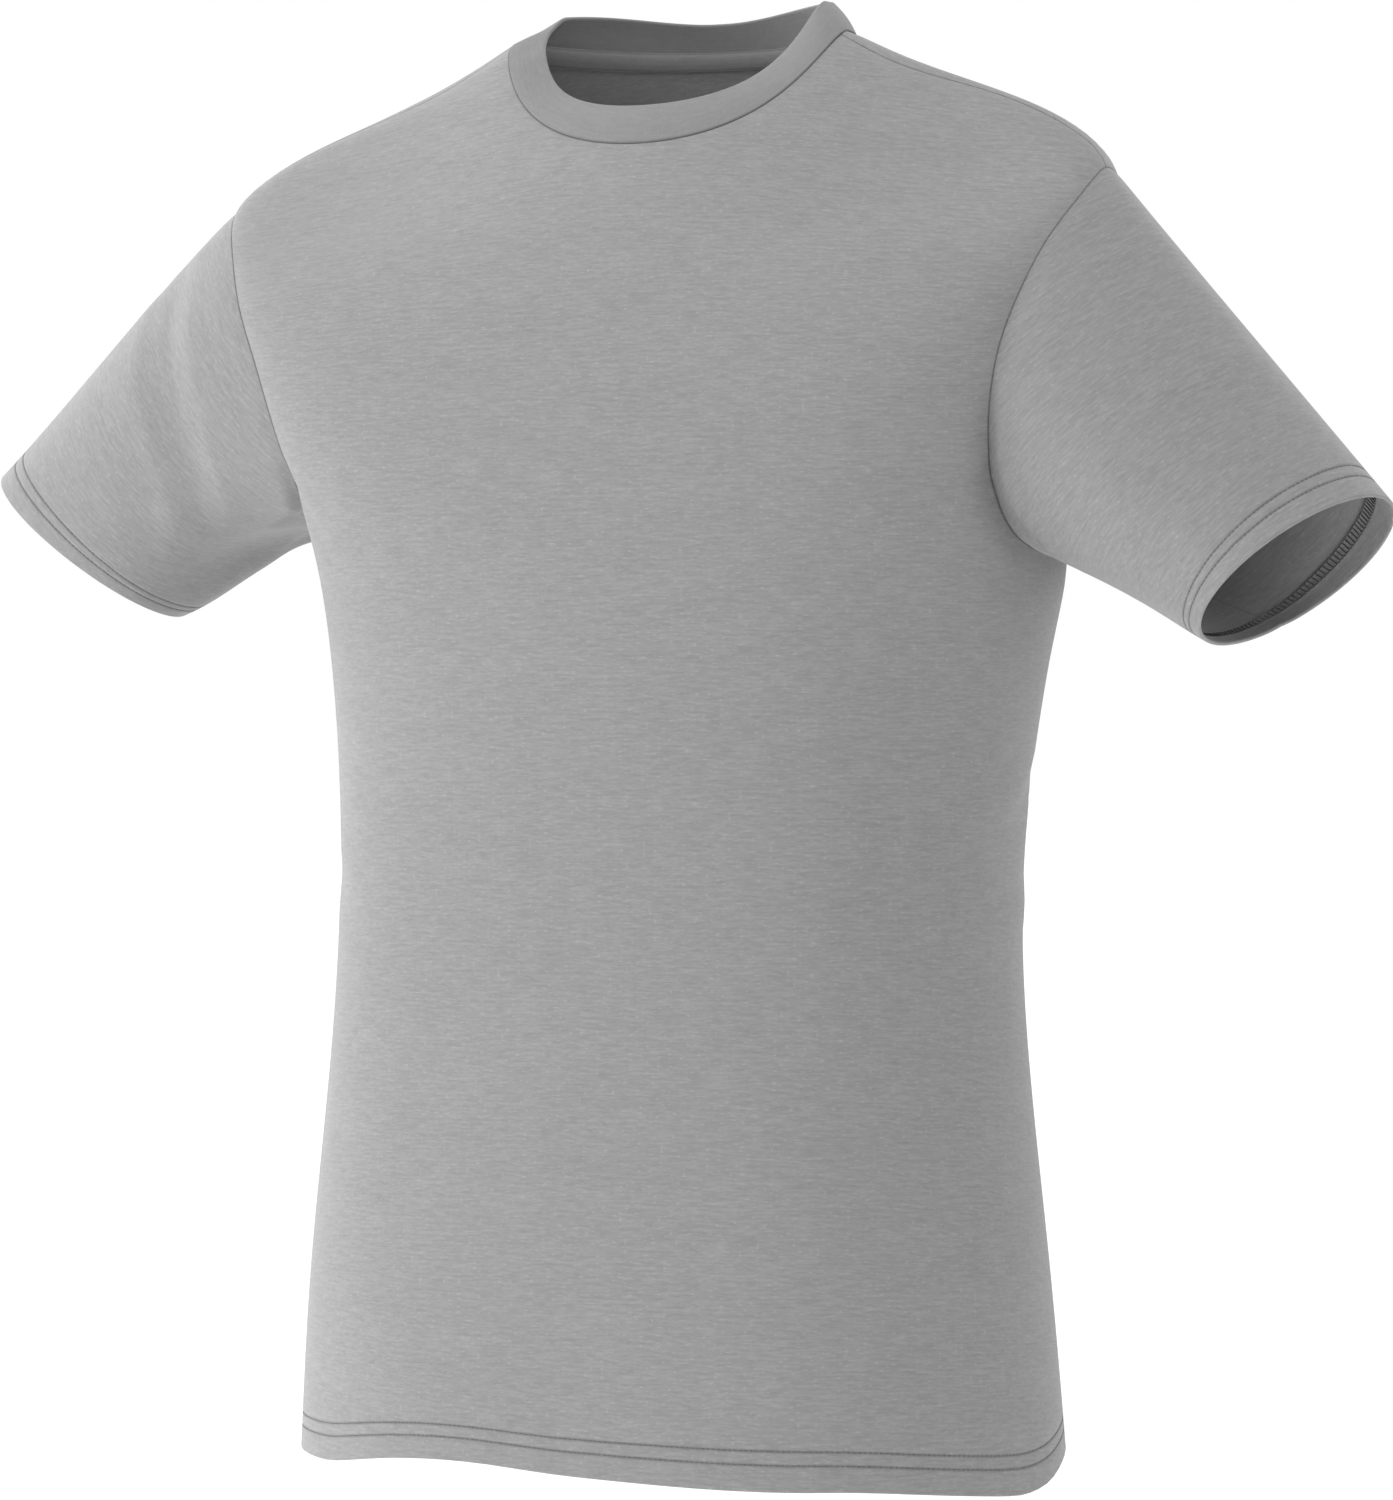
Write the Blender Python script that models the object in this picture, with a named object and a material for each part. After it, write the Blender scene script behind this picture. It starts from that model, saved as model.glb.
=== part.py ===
"""Crew neck T-shirt in its worn, filled-out shape: hollow, and open at the neck, hem and cuffs.

Metres, +Z up.  The chest faces -Y and +X is the wearer's left.  The origin is midway between the
two points where the shoulder seams reach the collar, which is where a wearer's shoulders carry it.

Every piece of cloth is worked out from three things: the rings that run round the trunk from the
hem to the collar seam, the armholes drawn on those rings, and the cuff of each sleeve.
"""

import math
from collections import namedtuple

import bmesh
import bpy
import numpy as np

MM = 0.001

# Cloth and sewing
WALL = 1.2 * MM  # one layer of jersey, as a solid
RIB_WALL = 2.4 * MM  # the folded rib of the collar
TAPE_WALL = 1.0 * MM
SEAM_GAP = 0.3 * MM  # left between two pieces that are sewn together
HEM_DEPTH = 19 * MM  # turned up inside the bottom edge
CUFF_DEPTH = 20 * MM  # turned in at each sleeve
TURN_STEP = 1.0 * MM  # length over which the wall thins from two layers to one

# Rings of the trunk, in millimetres, from the hem to the collar seam.  level is about how far up the
# cloth a ring lies, measured along its front and back.  A ring passes through a side point
# (half_width, side_y, side_z), a front centre point and a back centre point.  shift moves it to the
# wearer's left and tilt lifts its left side, square fills its corners out, and ridge says how fast
# it drops from its side point: a small value makes a narrow top.  seam_deg is where the side seam or
# shoulder seam crosses it, in degrees in front of the side point.
Ring = namedtuple(
    "Ring",
    "level half_width shift tilt side_y front_y back_y side_z front_z back_z square ridge seam_deg",
)
TRUNK = (
    Ring(0, 194, 0, 2, -3, -120, 114, -694.5, -689.5, -694, 0.03, 1.0, -17),  # hem
    Ring(90, 187, 0, 0, -7, -120, 103, -605, -602, -603, 0.03, 1.0, -17),  # hip
    Ring(194, 176.5, 0, 0, -8, -113, 93, -500, -498, -498, 0.03, 1.0, -17),
    Ring(283, 172.5, 0, 0, -5, -110, 95, -410, -410, -408, 0.03, 1.0, -17),  # waist
    Ring(365, 178, 1.5, -2, 0, -114, 110, -325, -330, -320, 0.03, 1.0, -17),
    Ring(435, 189.5, 3, -9, -4, -120, 120, -249, -262, -252, 0.04, 0.9, -15),  # underarm
    Ring(490, 204, 2, 0, -14, -119, 121, -194, -208, -188, 0.055, 0.8, -12),
    Ring(540, 219, -1, 2, -20, -112.5, 117.5, -134, -166, -138, 0.055, 0.6, 0),
    Ring(583, 228, -3, 3, -21, -101.5, 110.5, -77, -131, -98, 0.025, 0.52, 1.5),  # shoulder point
    Ring(606, 207.5, -1.5, 2.5, -14, -95.5, 104.5, -56, -117, -75, 0.015, 0.5, 3.5),
    Ring(640, 165, 0, 2.3, -8, -86.5, 93, -36, -98, -46, 0, 0.55, 4.5),
    Ring(675, 118, 0, 1, -5, -75, 80, -17, -76, -21, 0, 0.75, 8.5),
    Ring(700, 88, 0, -0.5, -3, -65, 70, -1.5, -58.5, -4, 0.0, 1.0, 8),  # collar seam
)
UNDERARM_LEVEL, SHOULDER_LEVEL, NECK_LEVEL = 435, 583, 700
PLAIN_COLUMNS = ("level", "square", "ridge", "seam_deg")  # the others are lengths

# Armhole: how far round the ring, in degrees from the seams, its edge lies at its widest, how much
# lower than halfway that is, and how far its top and bottom are squared off
ARMHOLE_FRONT_DEG, ARMHOLE_BACK_DEG = 41, 25
ARMHOLE_SKEW, ARMHOLE_SQUARE = 0.06, 0.11

# The collar's folded top edge, as a ring, how far the band bows outwards, and where the edge rises or
# dips: the middle and the half width of each lift, in degrees round it
COLLAR_TOP = Ring(0, 72, 0.5, 1.5, 5, -51.5, 66, 13, -38.5, 13.5, 0.0, 0.71, 0)
COLLAR_BOW = 1.2 * MM
Lift = namedtuple("Lift", "angle_deg width_deg up_mm")
COLLAR_LIFTS = (Lift(-45, 47, 4), Lift(-147, 50, 4.5), Lift(173, 20, -7))

# The neck tape covers the collar seam inside the back: its reach below and above the seam
TAPE_BELOW, TAPE_ABOVE = 5 * MM, 4 * MM

# Sleeves, in millimetres and degrees.  drop and forward give the way the top line runs from the
# shoulder point, slant and turn lay the long axis of the cuff, crown lifts the top line, under lifts
# the line below, and bulge fills the front and the back.
Sleeve = namedtuple(
    "Sleeve", "side length drop forward cuff_long cuff_deep slant turn crown under bulge"
)
SLEEVES = {
    "sleeve_left": Sleeve(1, 209, 48.8, 9, 106.5, 113.5, 50, 14, -1, 4.5, 6),
    "sleeve_right": Sleeve(-1, 190, 42.9, -7, 120, 96, 52, -1, 2, 17, 2),
}

# Waves of the hem: where round it, half as wide as this, how far out and how far down it goes, and
# the level where it has faded out
Wave = namedtuple("Wave", "angle_deg width_deg out_mm down_mm top_level")
HEM_WAVES = (
    Wave(-20, 29, -2, -8, 140),
    Wave(0, 18, 0, -3, 60),
    Wave(17, 40, 2, 8, 90),
    Wave(65, 41, 0, 5.5, 55),
    Wave(117, 25, 4, -4.5, 210),
    Wave(132, 28, -2, 3, 110),
)

# Soft folds of the sleeves: where the middle lies (share of the length, degrees round from the top),
# how its line leans from the sleeve's own way, and its length, width and depth
Fold = namedtuple("Fold", "share turn_deg lean_deg long_mm wide_mm deep_mm")
SLEEVE_FOLDS = {
    "sleeve_left": (Fold(0.3, 205, 20, 120, 36, 3.0),),
    "sleeve_right": (
        Fold(0.42, 55, 70, 150, 46, 4.0),
        Fold(0.3, 200, 20, 120, 36, 3.0),
    ),
}

# Mesh density, and how much more a panel's columns follow its edges there than in the middle
TRUNK_ROWS, ARMHOLE_ROWS, YOKE_ROWS, PANEL_COLUMNS = 15, 13, 9, 26
ROW_DIP, ROW_RISE = 30, 30  # levels that the middle of the underarm and shoulder rows lies off
SLEEVE_ROWS = 11
COLLAR_COLUMNS, COLLAR_ROWS, FOLD_ROWS = 56, 4, 3
TAPE_COLUMNS = 28
EDGE_PULL = 0.5

JERSEY_GREY = (0.36, 0.36, 0.36, 1)
RIB_GREY = (0.33, 0.33, 0.33, 1)
TAPE_GREY = (0.40, 0.40, 0.40, 1)


def natural_spline(knots, values, at):
    """Natural cubic spline through (knots, values), read at the points of the array at."""
    knots, values, at = (np.asarray(x, float) for x in (knots, values, at))
    steps = np.diff(knots)
    slopes = np.diff(values) / steps
    count = len(knots)
    system, right = np.eye(count), np.zeros(count)
    for i in range(1, count - 1):
        system[i, i - 1 : i + 2] = steps[i - 1], 2 * (steps[i - 1] + steps[i]), steps[i]
        right[i] = 6 * (slopes[i] - slopes[i - 1])
    bend = np.linalg.solve(system, right)
    i = np.clip(np.searchsorted(knots, at, side="right") - 1, 0, count - 2)
    h, a, b = steps[i], knots[i + 1] - at, at - knots[i]
    return (
        (bend[i] * a**3 + bend[i + 1] * b**3) / (6 * h)
        + (values[i] / h - bend[i] * h / 6) * a
        + (values[i + 1] / h - bend[i + 1] * h / 6) * b
    )


def in_metres(ring):
    lengths = set(Ring._fields) - set(PLAIN_COLUMNS)
    return ring._replace(**{column: getattr(ring, column) * MM for column in lengths})


def ring_at(level):
    """The trunk's ring at each of these levels, in metres."""
    knots = [ring.level for ring in TRUNK]
    columns = (
        natural_spline(knots, [getattr(ring, column) for ring in TRUNK], level)
        for column in Ring._fields
    )
    return in_metres(Ring(*columns))


def seam_angle(level):
    """Angle of the side seam or shoulder seam at these levels."""
    return np.radians(ring_at(level).seam_deg)


def on_ring(ring, angle):
    """Points of a ring.  angle runs from the wearer's left, over the front, to the right and back."""
    across, along = np.cos(angle), np.sin(angle)
    fill = ring.square
    x = ring.shift + ring.half_width * (across - fill * np.cos(3 * angle)) / (1 - fill)
    reach = np.abs(along + fill * np.sin(3 * angle)) / (1 - fill)
    front = along > 0
    y = ring.side_y + (np.where(front, ring.front_y, ring.back_y) - ring.side_y) * reach
    drop = (1 + ring.ridge**2) * along**2 / (along**2 + ring.ridge**2)
    z = ring.side_z + (np.where(front, ring.front_z, ring.back_z) - ring.side_z) * drop
    return np.stack([x, y, z + ring.tilt * across], axis=-1)


def bell(x):
    """A smooth hump: 1 at 0, and 0 from -1 and 1 outwards."""
    return (1 - np.clip(x, -1, 1) ** 2) ** 2


def round_gap(angle, angle_deg):
    """How far these angles lie from a given one, the shorter way round."""
    gap = angle - math.radians(angle_deg)
    return (gap + math.pi) % (2 * math.pi) - math.pi


def trunk(level, angle):
    """Points of the trunk's outer surface at these levels and angles."""
    level, angle = np.broadcast_arrays(np.asarray(level, float), np.asarray(angle, float))
    points = on_ring(ring_at(level), angle)
    for wave in HEM_WAVES:
        across = bell((angle - math.radians(wave.angle_deg)) / math.radians(wave.width_deg))
        amount = across * np.clip(1 - level / wave.top_level, 0, 1) ** 1.5 * MM
        move = [np.cos(angle) * wave.out_mm, -np.sin(angle) * wave.out_mm]
        move.append(np.full_like(angle, -wave.down_mm))
        points = points + np.stack(move, axis=-1) * amount[..., None]
    return points


def armhole(turn, side):
    """(level, angle) of the armhole's edge.  turn is 0 at the shoulder point, half a circle at the
    underarm, and runs down the front first."""
    middle = (SHOULDER_LEVEL + UNDERARM_LEVEL) / 2
    swing = (np.cos(turn) - ARMHOLE_SQUARE * np.cos(3 * turn)) / (1 - ARMHOLE_SQUARE)
    level = middle + (SHOULDER_LEVEL - UNDERARM_LEVEL) / 2 * swing
    top, bottom = seam_angle([SHOULDER_LEVEL, UNDERARM_LEVEL])
    widest = np.radians(np.where(np.sin(turn) > 0, ARMHOLE_FRONT_DEG, ARMHOLE_BACK_DEG))
    angle = bottom + (top - bottom) * (1 + np.cos(turn)) / 2
    angle = angle + widest * np.sin(turn) * (1 - ARMHOLE_SKEW * np.cos(turn))
    return level, angle if side > 0 else math.pi - angle


def cuff(sleeve, turn):
    """Points of the cuff's edge, turn running as it does on the armhole."""
    drop, forward = math.radians(sleeve.drop), math.radians(sleeve.forward)
    slant, twist = math.radians(sleeve.slant), math.radians(sleeve.turn)
    mirror = np.array([sleeve.side, 1, 1])
    level_way = np.array([math.cos(forward), -math.sin(forward), 0])
    level_axis = np.array([math.cos(twist), -math.sin(twist), 0])
    up = np.array([0, 0, 1])
    way = mirror * (level_way * math.cos(drop) - up * math.sin(drop))
    long_axis = mirror * (level_axis * math.sin(slant) + up * math.cos(slant))
    deep_axis = mirror * np.array([-math.sin(twist), -math.cos(twist), 0])
    half_long, half_deep = sleeve.cuff_long * MM / 2, sleeve.cuff_deep * MM / 2
    top = trunk(*armhole(0.0, sleeve.side)) + way * sleeve.length * MM
    turn = np.asarray(turn, float)[..., None]
    return (
        top
        - long_axis * half_long * (1 - np.cos(turn))
        + deep_axis * half_deep * np.sin(turn)
    )


def sleeve_surface(name, share, turn):
    """Points of a sleeve's outer surface: share is 0 at the armhole and 1 at the cuff's edge."""
    sleeve = SLEEVES[name]
    share, turn = np.broadcast_arrays(np.asarray(share, float), np.asarray(turn, float))
    start, end = trunk(*armhole(turn, sleeve.side)), cuff(sleeve, turn)
    outwards = end - (cuff(sleeve, 0.0) + cuff(sleeve, math.pi)) / 2
    outwards = outwards / np.linalg.norm(outwards, axis=-1, keepdims=True)
    top, bottom = ((1 + np.cos(turn)) / 2) ** 2, ((1 - np.cos(turn)) / 2) ** 2
    swell = sleeve.crown * top - sleeve.under * bottom + sleeve.bulge * np.sin(turn) ** 2
    swell = swell * MM * 6.75 * share * (1 - share) ** 2
    for fold in SLEEVE_FOLDS[name]:
        swell = swell - fold_depth(sleeve, fold, share, turn)
    return start + (end - start) * share[..., None] + outwards * swell[..., None]


def fold_depth(sleeve, fold, share, turn):
    """How far a fold draws these points of a sleeve inwards.  It fades out at both seams."""
    girth = math.pi * (sleeve.cuff_long + sleeve.cuff_deep) / 2
    along = (share - fold.share) * sleeve.length
    around = round_gap(turn, fold.turn_deg) / (2 * math.pi) * girth
    lean = math.radians(fold.lean_deg)
    length = along * math.cos(lean) + around * math.sin(lean)
    width = around * math.cos(lean) - along * math.sin(lean)
    shape = bell(2 * length / fold.long_mm) * bell(2 * width / fold.wide_mm)
    return fold.deep_mm * MM * shape * np.clip(4 * share * (1 - share), 0, 1)


def collar_surface(share, angle):
    """Points of the collar's outer face: share is 0 at the seam and 1 at the folded top edge."""
    share, angle = np.broadcast_arrays(np.asarray(share, float), np.asarray(angle, float))
    seam, top = trunk(float(NECK_LEVEL), angle), on_ring(in_metres(COLLAR_TOP), angle)
    for lift in COLLAR_LIFTS:
        gap = round_gap(angle, lift.angle_deg)
        top[..., 2] += bell(gap / math.radians(lift.width_deg)) * lift.up_mm * MM
    outwards = np.stack([np.cos(angle), -np.sin(angle), np.full_like(angle, 0.5)], axis=-1)
    bow = (4 * share * (1 - share) * COLLAR_BOW)[..., None]
    return seam + (top - seam) * share[..., None] + outwards * bow


def normals(surface, rows, columns):
    """Directions square to a surface at the crossings of its rows and columns."""
    step = 1e-4
    up = surface(rows + step, columns) - surface(rows - step, columns)
    along = surface(rows, columns + step) - surface(rows, columns - step)
    square = np.cross(up, along)
    return square / np.linalg.norm(square, axis=-1, keepdims=True)


def level_per_length(level, angle):
    """How much of a level a metre along the trunk's cloth is there."""
    step = 1.0
    rise = trunk(level, angle) - trunk(level - step, angle)
    return step / np.linalg.norm(rise)


def hem_levels():
    """Levels of the hem's edge, of the turned edge inside it, and of the wall just above that."""
    rate = level_per_length(10, math.pi / 2)
    heights = np.array([0, HEM_DEPTH / 2, HEM_DEPTH, HEM_DEPTH + TURN_STEP])
    return heights * rate, np.array([2, 2, 2, 1])


def panel_rows():
    """The rows of a panel: their levels in the middle and at the edge, the layers of cloth there,
    and the angle of the edge on the front and on the back."""
    hem_rows, hem_layers = hem_levels()
    lower = np.linspace(hem_rows[-1], UNDERARM_LEVEL, TRUNK_ROWS + 1)[1:-1]
    turns = np.linspace(math.pi, 0, ARMHOLE_ROWS + 1)
    upper = np.linspace(SHOULDER_LEVEL, NECK_LEVEL, YOKE_ROWS + 1)[1:]
    upper[-1] -= SEAM_GAP * level_per_length(NECK_LEVEL, math.pi / 2)
    open_level, front_angle = armhole(turns, 1)
    back_angle = armhole(-turns, 1)[1]
    below, above = seam_angle(np.append(hem_rows, lower)), seam_angle(upper)
    edge_level = np.concatenate([hem_rows, lower, open_level, upper])
    dip = ROW_DIP * ((lower - lower[0]) / (UNDERARM_LEVEL - lower[0])) ** 2
    beside = np.linspace(UNDERARM_LEVEL - ROW_DIP, SHOULDER_LEVEL + ROW_RISE, len(turns))
    rise = ROW_RISE * (NECK_LEVEL - upper) / (NECK_LEVEL - SHOULDER_LEVEL)
    rise[-1] = 0
    level = np.concatenate([hem_rows, lower - dip, beside, upper + rise])
    layers = np.ones(len(level))
    layers[: len(hem_layers)] = hem_layers
    front = np.concatenate([below, front_angle, above])
    back = np.concatenate([below, back_angle, above])
    return level, edge_level, layers, front, back


def panel(front):
    """Outer and inner points of the front or the back, hem first, in the order of their angle."""
    level, edge_level, layers, front_edge, back_edge = panel_rows()
    gap = SEAM_GAP / 2 / np.abs(ring_at(edge_level).front_y)
    edge = front_edge + gap if front else back_edge - gap
    across = np.linspace(-1, 1, PANEL_COLUMNS + 1)
    middle = math.pi / 2 if front else -math.pi / 2
    angle = middle * (1 + across) - edge[:, None] * across * np.abs(across) ** EDGE_PULL
    angle = angle if front else angle[:, ::-1]
    level = level[:, None] + (edge_level - level)[:, None] * np.abs(across) ** 3
    outer = trunk(level, angle)
    thickness = WALL * layers[:, None, None]
    return outer, outer - normals(trunk, level, angle) * thickness


def sleeve_walls(name):
    """Outer and inner points of a sleeve from the armhole to the cuff."""
    length = SLEEVES[name].length * MM
    turned = 1 - CUFF_DEPTH / length
    rows = np.linspace(SEAM_GAP / length, turned - TURN_STEP / length, SLEEVE_ROWS)
    share = np.concatenate([rows, [turned, (1 + turned) / 2, 1]])[:, None]
    layers = np.append(np.ones(SLEEVE_ROWS), [2, 2, 2])
    side = SLEEVES[name].side
    turns = np.linspace(0, 2 * math.pi, 2 * ARMHOLE_ROWS, endpoint=False)[None, ::-side]

    def surface(rows, columns):
        return sleeve_surface(name, rows, columns)

    outer = surface(share, turns)
    inwards = normals(surface, share, turns) * side
    return outer, outer + inwards * WALL * layers[:, None, None]


def collar_section():
    """Points round the collar's wall: up the outside, over the fold and down the inside."""
    angles = np.linspace(0, 2 * math.pi, COLLAR_COLUMNS, endpoint=False)[None, :]
    band = np.linalg.norm(collar_surface(1, 0.0) - collar_surface(0, 0.0))
    radius = RIB_WALL / 2
    share = np.linspace(SEAM_GAP / 2, band - radius, COLLAR_ROWS + 1)[:, None] / band
    outer = collar_surface(share, angles)
    inwards = -normals(collar_surface, share, angles)
    upwards = outer[-1] - outer[-2]
    upwards = upwards / np.linalg.norm(upwards, axis=-1, keepdims=True)
    centre = outer[-1] + inwards[-1] * radius
    over = np.linspace(0, math.pi, FOLD_ROWS + 2)[1:-1, None, None]
    fold = centre - inwards[-1] * np.cos(over) * radius + upwards * np.sin(over) * radius
    inner = (outer + inwards * RIB_WALL)[::-1]
    return np.concatenate([outer, fold, inner])


def tape_walls():
    """Outer and inner points of the neck tape, lowest row first."""
    left = float(seam_angle(NECK_LEVEL))
    angle = np.linspace(-math.pi - left, left, TAPE_COLUMNS + 1)
    rate = level_per_length(NECK_LEVEL, -math.pi / 2)
    band = np.linalg.norm(collar_surface(1, 0.0) - collar_surface(0, 0.0))
    level = NECK_LEVEL - rate * TAPE_BELOW * np.array([[1], [0.6], [0.2]])
    share = TAPE_ABOVE / band * np.array([[0.2], [0.6], [1]])
    outer = np.concatenate([trunk(level, angle), collar_surface(share, angle)])
    below, above = normals(trunk, level, angle), normals(collar_surface, share, angle)
    inwards = -np.concatenate([below, above])
    clear = RIB_WALL + 2 * SEAM_GAP
    return outer + inwards * clear, outer + inwards * (clear + TAPE_WALL)


def loft(mesh, rows, round_columns):
    """Faces through rows of vertices.  round_columns joins the last column to the first."""
    columns = len(rows[0])
    for low, high in zip(rows, rows[1:]):
        for i in range(columns if round_columns else columns - 1):
            j = (i + 1) % columns
            mesh.faces.new((low[i], high[i], high[j], low[j]))


def cloth_object(name, outer, inner, round_columns, colour):
    """A wall of cloth between an outer and an inner surface.  Columns run so that rows going up
    have the garment's outside on the viewer's side when the next column lies to the left."""
    section = np.concatenate([outer, inner[::-1], outer[:1]])
    mesh = bmesh.new()
    rows = [[mesh.verts.new(point) for point in row] for row in section[:-1]]
    rows.append(rows[0])
    loft(mesh, rows, round_columns)
    if not round_columns:
        count = len(outer)
        for column in (0, -1):
            edges = [row[column] for row in rows[:count]]
            backs = [row[column] for row in rows[count : 2 * count]][::-1]
            loft(mesh, (edges, backs) if column == 0 else (backs, edges), False)
    data = bpy.data.meshes.new(name)
    mesh.to_mesh(data)
    mesh.free()
    data.materials.append(cloth_material(name, colour))
    data.shade_smooth()
    obj = bpy.data.objects.new(name, data)
    garment.objects.link(obj)


def cloth_material(name, colour):
    material = bpy.data.materials.new(name)
    material.use_nodes = True
    shader = material.node_tree.nodes["Principled BSDF"]
    shader.inputs["Base Color"].default_value = colour
    shader.inputs["Roughness"].default_value = 0.9
    shader.inputs["Metallic"].default_value = 0.0
    return material


def clear_scene():
    for obj in list(bpy.data.objects):
        bpy.data.objects.remove(obj, do_unlink=True)


garment = bpy.data.collections.new("crew_neck_t_shirt")


def main():
    clear_scene()
    bpy.context.scene.collection.children.link(garment)
    cloth_object("front", *panel(True), False, JERSEY_GREY)
    cloth_object("back", *panel(False), False, JERSEY_GREY)
    for name in SLEEVES:
        cloth_object(name, *sleeve_walls(name), True, JERSEY_GREY)
    section = collar_section()
    cloth_object("collar", section, section[:0], True, RIB_GREY)
    cloth_object("neck_tape", *tape_walls(), False, TAPE_GREY)


main()
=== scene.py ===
import math
from collections import namedtuple

import bmesh
import bpy
import numpy as np
from mathutils.kdtree import KDTree
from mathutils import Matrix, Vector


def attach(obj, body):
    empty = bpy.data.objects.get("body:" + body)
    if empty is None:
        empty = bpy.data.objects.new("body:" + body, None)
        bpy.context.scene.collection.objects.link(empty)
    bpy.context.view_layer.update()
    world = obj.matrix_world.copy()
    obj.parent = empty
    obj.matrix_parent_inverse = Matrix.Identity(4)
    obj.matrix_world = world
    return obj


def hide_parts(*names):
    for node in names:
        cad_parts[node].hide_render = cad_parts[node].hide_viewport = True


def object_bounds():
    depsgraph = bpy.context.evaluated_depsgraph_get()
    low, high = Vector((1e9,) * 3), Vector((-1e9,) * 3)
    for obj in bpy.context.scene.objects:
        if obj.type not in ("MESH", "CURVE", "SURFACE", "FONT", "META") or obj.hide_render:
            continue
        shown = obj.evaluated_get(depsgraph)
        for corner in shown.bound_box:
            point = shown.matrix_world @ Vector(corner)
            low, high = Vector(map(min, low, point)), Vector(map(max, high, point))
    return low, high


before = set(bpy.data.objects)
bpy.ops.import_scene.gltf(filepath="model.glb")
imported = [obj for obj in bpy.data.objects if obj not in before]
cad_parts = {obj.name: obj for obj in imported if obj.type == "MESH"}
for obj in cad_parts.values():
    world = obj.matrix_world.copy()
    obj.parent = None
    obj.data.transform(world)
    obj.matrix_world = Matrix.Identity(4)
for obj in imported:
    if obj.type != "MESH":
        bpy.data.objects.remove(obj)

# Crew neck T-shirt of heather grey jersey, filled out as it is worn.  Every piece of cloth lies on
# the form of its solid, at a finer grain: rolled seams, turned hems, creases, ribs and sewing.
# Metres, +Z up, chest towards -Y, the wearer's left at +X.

cad_low, cad_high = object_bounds()

MM = 0.001

# Cloth, in millimetres
WALL_MM, RIB_WALL_MM, TAPE_WALL_MM = 0.9, 2.2, 0.9
HEM_MM, CUFF_MM = 19.0, 20.0  # turned in at the bottom and at each sleeve
TURNED_END_MM = 0.7  # over which the turned-in layer ends
FOLD_SHARE = 0.97  # how far round a turned edge folds
RIB_PITCH_MM, RIB_DEEP_MM = 1.2, 0.13
TAPE_CLEAR_MM = RIB_WALL_MM + 0.5  # from the outside of the collar to the tape

# Seams
SEAM_GAP_MM = 0.08
SLEEVE_SEAM_BACK = math.radians(42)  # how far behind the underarm the seam of a sleeve runs
ROLL_MM, ROLL_SHARE = 0.6, 0.88  # radius at which cloth rolls into a seam, and how far round
PULL_DEEP_MM, PULL_WIDE_MM = 0.4, 4.5  # soft hollow along a seam
SEAM_TURN_MM = 1.6  # how near an armhole both cloths turn their thickness the same way
SLEEVE_OVER = 2.2  # a tuck is this much narrower on the sleeve, which bulges over the seam

# Sewing
STITCH_ROWS_MM = (11.8, 18.0)  # the two needle rows, up from the edge
STITCH_PITCH_MM, STITCH_GAP_MM = 2.55, 0.5
STITCH_LIFT_MM = (-0.55, -0.18, -0.12, -0.18, -0.55)  # a stitch's height over the cloth's form
TAPE_STITCHES_MM = (-4.1, 3.1)  # below and above the collar seam
TAPE_STITCH_IN_MM = 0.45  # how far the tape's stitches lie in its face
THREAD_MM, LOOPER_MM = 0.2, 0.3  # radii
THREAD_SIDES, THREAD_END = 5, 0.35  # corners round a thread, and how thin its ends are
LOOPER_DEEP_MM = 2 * WALL_MM + 0.3  # the looper lies this deep, on the turned-in layer
# One looper stitch: its share of the way from the low to the high row, and along the pitch
LOOPER_ACROSS = (0.0, 0.0, 0.06, 0.5, 0.94, 1.0, 1.0)
LOOPER_AHEAD = (0.97, 0.5, 0.06, 0.1, 0.14, 0.6, 1.08)

# Painted shade, which darkens the cloth's tone: a shade of 1 takes away SHADE_DARK of it
SHADE_DARK = 0.5
SEAM_SHADE, SEAM_DARK_MM = 0.5, 0.45  # painted shade along a seam, with its half width
ROW_SHADE, ROW_DARK_MM = 0.8, 0.55  # painted shade along a needle row's furrow
TAPE_SHADE, TAPE_DARK_MM = 0.6, 0.4  # painted shade along the tape's rows
COLLAR_DARK_MM = 0.6  # painted shade along the collar's seam
TUCK_WIDENS = 0.8  # how much wider the painted shade of a seam is in the middle of a tuck
INNER_SHADE = 0.4  # how much of the painted shade shows on the inner face
INSIDE_PAINTED_LIGHT = 0.8  # painted light: the reverse is this many shades lighter than its face

# Grids of the cloth.  Rows up from a turned edge lie close at the fold and at the stitches.  A
# panel has rows below and beside the armholes, on half its width.  A sleeve has close rows at the
# top, further ones below, and columns on half its girth.
HEM_ROWS_MM = np.array(
    [0, 0.25, 0.7, 1.4, 3, 5.5, 8.5, 10.6, 11.3, 11.8, 12.3, 13, 14.9, 16.8, 17.5, 18, 18.5]
    + [19.2, 20.2, 21.5, 24]
)
PANEL_ROWS, ARMHOLE_ROWS, PANEL_HALF_MM = 64, 108, 260
SLEEVE_ROW_MM, SLEEVE_COLUMN_MM, SLEEVE_TOP_MM, SLEEVE_HALF_MM = 4.0, 3.0, 70, 185
SLEEVE_RADIUS_MM = 60
# Points along each seam to measure distances from; on an armhole, down the front or the back
SEAM_POINTS = {"armhole": 1500, "side": 2000, "shoulder": 900, "neck": 2000, "sleeve": 900}

# -------------------------------- the form, as in the solids

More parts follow.
